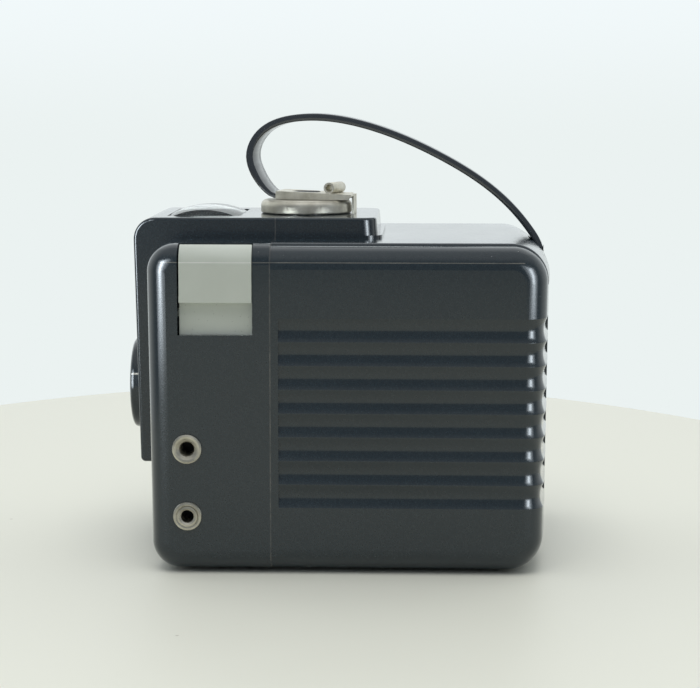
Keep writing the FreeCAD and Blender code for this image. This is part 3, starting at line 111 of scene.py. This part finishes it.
# ---------------------------------------------------------------- material tools
class Recipe:
    """A node material built step by step."""

    def __init__(self, name):
        self.material = bpy.data.materials.new(name)
        self.material.use_nodes = True
        self.tree = self.material.node_tree
        self.tree.nodes.clear()
        out = self.tree.nodes.new("ShaderNodeOutputMaterial")
        self.shader = self.tree.nodes.new("ShaderNodeBsdfPrincipled")
        self.link(self.shader.outputs[0], out.inputs[0])
        self.place = self.tree.nodes.new("ShaderNodeTexCoord").outputs["Object"]

    def link(self, a, b):
        self.tree.links.new(a, b)

    def set(self, **values):
        """Fixed values on the shader's own sockets, with _ for a space in the name."""
        for key, value in values.items():
            self.shader.inputs[key.replace("_", " ")].default_value = value
        return self

    def axis(self, letter):
        """The object coordinate along X, Y or Z."""
        split = self.tree.nodes.new("ShaderNodeSeparateXYZ")
        self.link(self.place, split.inputs[0])
        return split.outputs[letter]

    def stretched(self, scale):
        """Object coordinates stretched by a scale on each axis."""
        node = self.tree.nodes.new("ShaderNodeMapping")
        node.inputs["Scale"].default_value = scale
        self.link(self.place, node.inputs["Vector"])
        return node.outputs[0]

    def noise(self, scale, detail=3.0, rough=0.5, vector=None):
        node = self.tree.nodes.new("ShaderNodeTexNoise")
        node.inputs["Scale"].default_value = scale
        node.inputs["Detail"].default_value = detail
        node.inputs["Roughness"].default_value = rough
        self.link(vector or self.place, node.inputs["Vector"])
        return node.outputs["Fac"]

    def remap(self, value, low, high, to_low, to_high):
        """The stretch low..high of a value laid over to_low..to_high, and held outside it."""
        node = self.tree.nodes.new("ShaderNodeMapRange")
        node.inputs["From Min"].default_value = low
        node.inputs["From Max"].default_value = high
        node.inputs["To Min"].default_value = to_low
        node.inputs["To Max"].default_value = to_high
        self.link(value, node.inputs["Value"])
        return node.outputs[0]

    def calc(self, kind, *values):
        node = self.tree.nodes.new("ShaderNodeMath")
        node.operation = kind
        for socket, value in zip(node.inputs, values):
            if isinstance(value, (int, float)):
                socket.default_value = value
            else:
                self.link(value, socket)
        return node.outputs[0]

    def mix(self, factor, a, b):
        node = self.tree.nodes.new("ShaderNodeMix")
        node.data_type = "RGBA"
        self.link(factor, node.inputs["Factor"])
        for socket, value in ((node.inputs["A"], a), (node.inputs["B"], b)):
            if isinstance(value, tuple):
                socket.default_value = (*value, 1.0)
            else:
                self.link(value, socket)
        return node.outputs["Result"]

    def specks(self, scale, size, share):
        """Small round dots in a share of the cells: dust, pits."""
        cell = self.tree.nodes.new("ShaderNodeTexVoronoi")
        cell.inputs["Scale"].default_value = scale
        self.link(self.place, cell.inputs["Vector"])
        near = self.remap(cell.outputs["Distance"], size * 0.5, size, 1.0, 0.0)
        split = self.tree.nodes.new("ShaderNodeSeparateColor")
        self.link(cell.outputs["Color"], split.inputs[0])
        chosen = self.calc("LESS_THAN", split.outputs[0], share)
        return self.calc("MULTIPLY", near, chosen)

    def bump(self, height, strength, distance):
        """Fine relief, laid over any relief that is there already."""
        node = self.tree.nodes.new("ShaderNodeBump")
        node.inputs["Strength"].default_value = strength
        node.inputs["Distance"].default_value = distance
        self.link(height, node.inputs["Height"])
        if self.shader.inputs["Normal"].is_linked:
            before = self.shader.inputs["Normal"].links[0].from_socket
            self.link(before, node.inputs["Normal"])
        self.link(node.outputs[0], self.shader.inputs["Normal"])
        return self

    def colour(self, value):
        self.link(value, self.shader.inputs["Base Color"])
        return self

    def rough(self, value):
        self.link(value, self.shader.inputs["Roughness"])
        return self


def near_plane(r, letter, place, full, fade):
    """1 within full of a plane across an axis, falling to 0 at fade from it."""
    away = r.calc("ABSOLUTE", r.calc("SUBTRACT", r.axis(letter), place))
    return r.remap(away, full, fade, 1.0, 0.0)


def seam_dust_and_highlight(r, colour, tint):
    """Pale line along the joint between the two case parts: dust caught in the joint, and a
    painted highlight of the joint's edges.
    """
    patchy = r.remap(r.noise(420.0, 3.0), 0.35, 0.65, 0.35, 1.0)
    line = near_plane(r, "Y", SEAM_Y, 0.00008, 0.00022)
    return r.mix(r.calc("MULTIPLY", line, patchy), colour, tint)


def edge_line(r, colour, tint):
    """Painted stand-in for a long lamp's reflection, low on the rounded top edge."""
    outside = r.calc("GREATER_THAN", r.calc("ABSOLUTE", r.axis("X")), EDGE_X)
    uneven = r.remap(r.noise(160.0, 2.0), 0.3, 0.7, 0.45, 0.9)
    line = r.calc("MULTIPLY", near_plane(r, "Z", EDGE_Z, 0.00005, 0.00016), outside)
    return r.mix(r.calc("MULTIPLY", line, uneven), colour, tint)


def ring_pale_line(r, colour, tint):
    """A short painted line on the outer side of the lens ring."""
    low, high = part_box("lens_ring")
    height = (low[2] + high[2]) / 2 + RING_LINE_ABOVE_MIDDLE
    level = r.calc("COMPARE", r.axis("Z"), height, RING_LINE_HALF_WIDTH)
    outside = r.calc("GREATER_THAN", r.axis("X"), RING_LINE_INNER_X)
    return r.mix(r.calc("MULTIPLY", level, outside), colour, tint)


def polished_black(name, with_ring_line=False):
    """Moulded phenolic: deep black, glossy, with dust and faint wiping marks."""
    r = Recipe(name)
    cloud = r.noise(35.0, 4.0)
    base = r.mix(cloud, (0.0062, 0.0158, 0.0220), (0.0094, 0.0208, 0.0280))
    mottle = r.noise(1300.0, 4.0, 0.7)
    base = r.mix(r.remap(mottle, 0.40, 0.72, 0.0, 0.20), base, (0.036, 0.038, 0.036))
    base = r.mix(r.remap(mottle, 0.55, 0.30, 0.0, 0.35), base, (0.001, 0.006, 0.010))
    lint = r.specks(250.0, 0.050, 0.16)
    dust = r.specks(760.0, 0.085, 0.10)
    base = r.mix(r.calc("MAXIMUM", dust, lint), base, (0.30, 0.31, 0.31))
    # pale joint line: dust, and a painted highlight of the joint's edges
    base = seam_dust_and_highlight(r, base, (0.085, 0.085, 0.08))
    base = edge_line(r, base, (0.20, 0.19, 0.165))
    # a short pale line painted along the outer side of the lens ring
    if with_ring_line:
        base = ring_pale_line(r, base, (0.80, 0.78, 0.72))
    r.colour(base)
    smear = r.noise(22.0, 5.0, 0.6, r.stretched((1.0, 2.2, 1.0)))
    fine = r.noise(1400.0, 2.0)
    rough = r.remap(smear, 0.3, 0.7, 0.15, 0.21)
    r.rough(r.calc("ADD", rough, r.remap(fine, 0.3, 0.7, 0.0, 0.01)))
    r.bump(r.noise(160.0, 2.0), 0.03, 0.0004)
    return r.set(IOR=1.38, Coat_Weight=0.7, Coat_Roughness=0.12).material


def matt_black():
    """Flat black paint on the inside and on the spools."""
    r = Recipe("matt_black")
    grain = r.noise(900.0, 4.0)
    r.colour(r.mix(grain, (0.010, 0.010, 0.011), (0.022, 0.022, 0.023)))
    r.rough(r.remap(grain, 0.3, 0.7, 0.5, 0.7))
    r.bump(grain, 0.2, 0.0001)
    return r.material


def release_grey():
    """Grey-green moulded plastic with a slightly mottled, handled surface."""
    r = Recipe("release_grey")
    cloud = r.noise(120.0, 4.0)
    base = r.mix(cloud, (0.535, 0.565, 0.495), (0.60, 0.63, 0.56))
    base = r.mix(r.specks(1200.0, 0.12, 0.12), base, (0.20, 0.20, 0.17))
    r.colour(edge_line(r, base, (0.85, 0.84, 0.80)))
    r.rough(r.remap(r.noise(500.0, 3.0), 0.3, 0.7, 0.16, 0.24))
    r.bump(r.noise(1500.0, 3.0), 0.08, 0.0001)
    return r.material


def nickel(name, shade, metal):
    """Dull nickel plate with fine rubbing marks and a warm tarnish; each copy's colour is
    scaled up or down by shade as painted light.
    """
    r = Recipe(name)
    tarnish = r.noise(220.0, 4.0, 0.6)
    base = r.mix(r.remap(tarnish, 0.35, 0.7, 0.0, 1.0),
                 (0.61 * shade, 0.585 * shade, 0.50 * shade),
                 (0.42 * shade, 0.395 * shade, 0.32 * shade))
    r.colour(base)
    brush = r.noise(700.0, 3.0, 0.6, r.stretched((1.0, 1.0, 5.0)))
    r.rough(r.remap(brush, 0.3, 0.7, 0.30, 0.48))
    r.bump(brush, 0.08, 0.0001)
    return r.set(Metallic=metal).material


def plain_metal(name, tint, low, high):
    """Cloudy bare metal of one tint, with its roughness between low and high."""
    r = Recipe(name)
    spangle = r.noise(260.0, 3.0)
    dark = tuple(0.7 * c for c in tint)
    r.colour(r.mix(spangle, dark, tint))
    r.rough(r.remap(r.noise(900.0, 3.0), 0.3, 0.7, low, high))
    r.bump(r.noise(1500.0, 2.0), 0.06, 0.0001)
    return r.set(Metallic=1.0).material


def front_metal():
    """Satin aluminium with fine upright lines."""
    r = Recipe("front_metal")
    line = r.noise(1.0, 2.0, 0.5, r.stretched((3500.0, 1.0, 20.0)))
    r.colour(r.mix(line, (0.45, 0.45, 0.44), (0.66, 0.66, 0.64)))
    r.rough(r.remap(line, 0.3, 0.7, 0.28, 0.4))
    r.bump(line, 0.15, 0.0001)
    return r.set(Metallic=1.0).material


def clear_glass(name, bending, clear):
    """Wiped clear plastic; a low bending value lets the view behind pass nearly straight."""
    r = Recipe(name)
    wiped = r.noise(150.0, 3.0)
    r.rough(r.remap(wiped, 0.3, 0.7, 0.0, 0.05))
    r.colour(r.mix(wiped, (0.90, 0.93, 0.91), (0.95, 0.97, 0.96)))
    return r.set(IOR=bending, Transmission_Weight=clear).material


def red_sheet():
    """Clear red film of the number window."""
    r = Recipe("red_sheet")
    cloud = r.noise(300.0, 3.0)
    r.colour(r.mix(cloud, (0.35, 0.01, 0.01), (0.55, 0.02, 0.015)))
    r.rough(r.remap(cloud, 0.3, 0.7, 0.1, 0.25))
    return r.set(Transmission_Weight=0.5).material


def silvered():
    """The finder's mirror."""
    r = Recipe("silvered")
    haze = r.noise(200.0, 4.0)
    r.colour(r.mix(haze, (0.78, 0.79, 0.80), (0.88, 0.88, 0.88)))
    r.rough(r.remap(haze, 0.3, 0.7, 0.02, 0.08))
    return r.set(Metallic=1.0).material


def strap_vinyl():
    """Smooth flexible vinyl, slightly blue black."""
    r = Recipe("strap_vinyl")
    cloud = r.noise(90.0, 4.0)
    base = r.mix(cloud, (0.020, 0.026, 0.031), (0.034, 0.040, 0.046))
    base = r.mix(r.specks(900.0, 0.09, 0.10), base, (0.20, 0.20, 0.19))
    r.colour(base)
    r.rough(r.remap(r.noise(420.0, 4.0, 0.6), 0.3, 0.7, 0.07, 0.14))
    r.bump(r.noise(1100.0, 3.0), 0.08, 0.0001)
    r.bump(r.noise(240.0, 2.0), 0.05, 0.0004)
    return r.set(IOR=1.75).material


SLOT_MATERIALS = {
    "case_black": polished_black("polished_black"),
    "inner_black": matt_black(),
    "release_grey": release_grey(),
    "nickel": nickel("nickel", 1.22, 0.66),
    "plate_steel": plain_metal("plate_steel", (0.55, 0.55, 0.54), 0.25, 0.4),
    "spring_steel": plain_metal("spring_steel", (0.42, 0.42, 0.43), 0.2, 0.35),
    "contact_brass": plain_metal("contact_brass", (0.70, 0.54, 0.28), 0.2, 0.35),
    "front_metal": front_metal(),
    "clear_glass": clear_glass("clear_glass", 1.5, 1.0),
    "red_film": red_sheet(),
    "silvered": silvered(),
    "spool_enamel": matt_black(),
    "strap_vinyl": strap_vinyl(),
}
# darker copy of the nickel for the sockets: painted shade
socket_nickel = nickel("socket_nickel", 1.0, 0.92)
OWN_MATERIALS = {                          # pieces that differ from their slot
    # brighter copy of the nickel for the clip: painted light
    "strap_clip": nickel("clip_nickel", 1.40, 0.66),
    "pin_socket": socket_nickel,
    "screw_socket": socket_nickel,
    "finder_top_lens": clear_glass("dome_glass", 1.10, 0.92),
    "lens_ring": polished_black("ring_black", with_ring_line=True),
}
for entry in frame["record"]["subparts"]:
    slots = nodes[entry["node"]].data.materials
    slots.clear()
    slots.append(OWN_MATERIALS.get(entry["node"]) or SLOT_MATERIALS[entry["material_slot"]])


# ---------------------------------------------------------------- pieces with more detail
def copy_of(node, name):
    """A piece that starts as a copy of a CAD node's mesh."""
    item = nodes[node].copy()
    item.data = item.data.copy()
    item.name = name
    item.data.name = name
    scene.collection.objects.link(item)
    return item


def round_edges(item, weld_width, width, segments, degrees):
    """Small roundings on the edges that are sharper than an angle."""
    weld = item.modifiers.new("weld", "WELD")
    weld.merge_threshold = weld_width
    edge = item.modifiers.new("edge", "BEVEL")
    edge.width = width
    edge.segments = segments
    edge.limit_method = "ANGLE"
    edge.angle_limit = math.radians(degrees)
    edge.harden_normals = True


def add_strap():
    """The vinyl strap with rolled edges, shaped on the CAD strap."""
    strap = copy_of("carry_strap", "strap_band")
    round_edges(strap, 0.01 * MM, 0.32 * MM, 3, 50)
    for polygon in strap.data.polygons:
        polygon.use_smooth = True
    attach(strap, "cover")
    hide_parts("carry_strap")


def add_release_spring():
    """The release's coil spring: a copy of the CAD spring on a mesh of its own, fixed to the
    camera body.
    """
    spring = copy_of("button_spring", "spring_coil")
    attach(spring, "camera")
    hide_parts("button_spring")
    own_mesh(spring)


add_strap()
add_release_spring()
round_edges(nodes["strap_clip"], 0.002 * MM, 0.10 * MM, 2, 40)
round_edges(nodes["shutter_button"], 0.002 * MM, 0.18 * MM, 2, 40)


# ---------------------------------------------------------------- light and table
case_pieces = bpy.data.collections.new("case_pieces")
for name in ("front_housing", "rear_cover", "lens_ring", "winding_knob"):
    case_pieces.objects.link(nodes[name])


def add_area(name, place, aim, size, power, kind="both"):
    """A soft lamp. A "wash" gives no reflections; a "shine" gives only those, on the case."""
    data = bpy.data.lights.new(name, "AREA")
    data.shape = "RECTANGLE"
    data.size, data.size_y = size
    data.energy = power
    item = bpy.data.objects.new(name, data)
    item.location = place
    item.rotation_mode = "QUATERNION"
    item.rotation_quaternion = (Vector(aim) - Vector(place)).to_track_quat("-Z", "Y")
    item.visible_diffuse = kind != "shine"
    item.visible_glossy = kind != "wash"
    if kind == "shine":
        data.color = PANEL_COLOUR
        item.light_linking.receiver_collection = case_pieces
    scene.collection.objects.link(item)


def add_world():
    """A bright paper backdrop behind, a dimmer room on the viewer's side."""
    world = bpy.data.worlds.new("studio")
    world.use_nodes = True
    tree = world.node_tree
    back = tree.nodes["Background"]
    place = tree.nodes.new("ShaderNodeTexCoord")
    split = tree.nodes.new("ShaderNodeSeparateXYZ")
    tree.links.new(place.outputs["Generated"], split.inputs[0])

    def ramp(value, low, high):
        """0 below low, 1 above high, smooth between."""
        node = tree.nodes.new("ShaderNodeMapRange")
        node.interpolation_type = "SMOOTHSTEP"
        node.inputs["From Min"].default_value = low
        node.inputs["From Max"].default_value = high
        tree.links.new(value, node.inputs["Value"])
        return node.outputs[0]

    def mix(factor, a, b):
        node = tree.nodes.new("ShaderNodeMix")
        node.data_type = "RGBA"
        tree.links.new(factor, node.inputs["Factor"])
        for socket, value in ((node.inputs["A"], a), (node.inputs["B"], b)):
            if isinstance(value, tuple):
                socket.default_value = value
            else:
                tree.links.new(value, socket)
        return node.outputs["Result"]

    backdrop = mix(ramp(split.outputs["Z"], -0.035, 0.045), BACKDROP_LOW, BACKDROP_HIGH)
    front = mix(ramp(split.outputs["X"], -0.35, 0.45), backdrop, ROOM)
    tree.links.new(mix(ramp(split.outputs["Z"], 0.45, 0.95), front, CEILING),
                   back.inputs["Color"])
    scene.world = world


def add_table():
    """Pale laminate table top with a rounded far edge, standing on the base plane."""
    points = []
    for step in range(TABLE_STEPS):
        angle = 2 * math.pi * step / TABLE_STEPS
        points.append((TABLE_MIDDLE_X + TABLE_HALF_X * math.cos(angle),
                       TABLE_MIDDLE_Y + TABLE_HALF_Y * math.sin(angle)))
    rings = ((TABLE_RIM * 0.3, TABLE_RIM * 0.7), (TABLE_RIM, TABLE_RIM),
             (TABLE_DEPTH, TABLE_RIM))
    verts = [(x, y, 0.0) for x, y in points]
    for drop, grow in rings:
        for x, y in points:
            out = Vector((x - TABLE_MIDDLE_X, y - TABLE_MIDDLE_Y)).normalized() * grow
            verts.append((x + out.x, y + out.y, -drop))
    faces = [tuple(range(TABLE_STEPS))]
    for ring in range(len(rings)):
        upper, lower = ring * TABLE_STEPS, (ring + 1) * TABLE_STEPS
        for step in range(TABLE_STEPS):
            after = (step + 1) % TABLE_STEPS
            faces.append((upper + after, upper + step, lower + step, lower + after))
    mesh = bpy.data.meshes.new("table")
    mesh.from_pydata(verts, [], faces)
    item = bpy.data.objects.new("table", mesh)
    scene.collection.objects.link(item)
    r = Recipe("table_laminate")
    cloud = r.noise(9.0, 4.0)
    base = r.mix(cloud, (0.735, 0.730, 0.635), (0.765, 0.760, 0.665))
    r.colour(r.mix(r.specks(90.0, 0.05, 0.10), base, (0.52, 0.50, 0.42)))
    r.rough(r.remap(cloud, 0.3, 0.7, 0.45, 0.55))
    mesh.materials.append(r.material)


add_world()
add_table()
add_area("key", (0.45, 0.0, 1.50), (0.10, 0.0, 0.0), (0.9, 1.3), KEY_POWER, "wash")
add_area("back_light", (-0.75, 0.0, 1.05), (0.10, 0.0, 0.0), (1.6, 1.2), BACK_POWER)
for ring, width in enumerate(PANEL_WIDTHS):    # nested, so that each panel's edge is soft
    for side, place_y, power in PANELS:
        add_area(f"{side}_panel_{ring}", (0.32 + 0.002 * ring, place_y, 0.13),
                 (0.03, 0.1 * place_y, 0.05), (width, 0.20 + 0.04 * ring), power, "shine")
scene.view_settings.view_transform = "Standard"
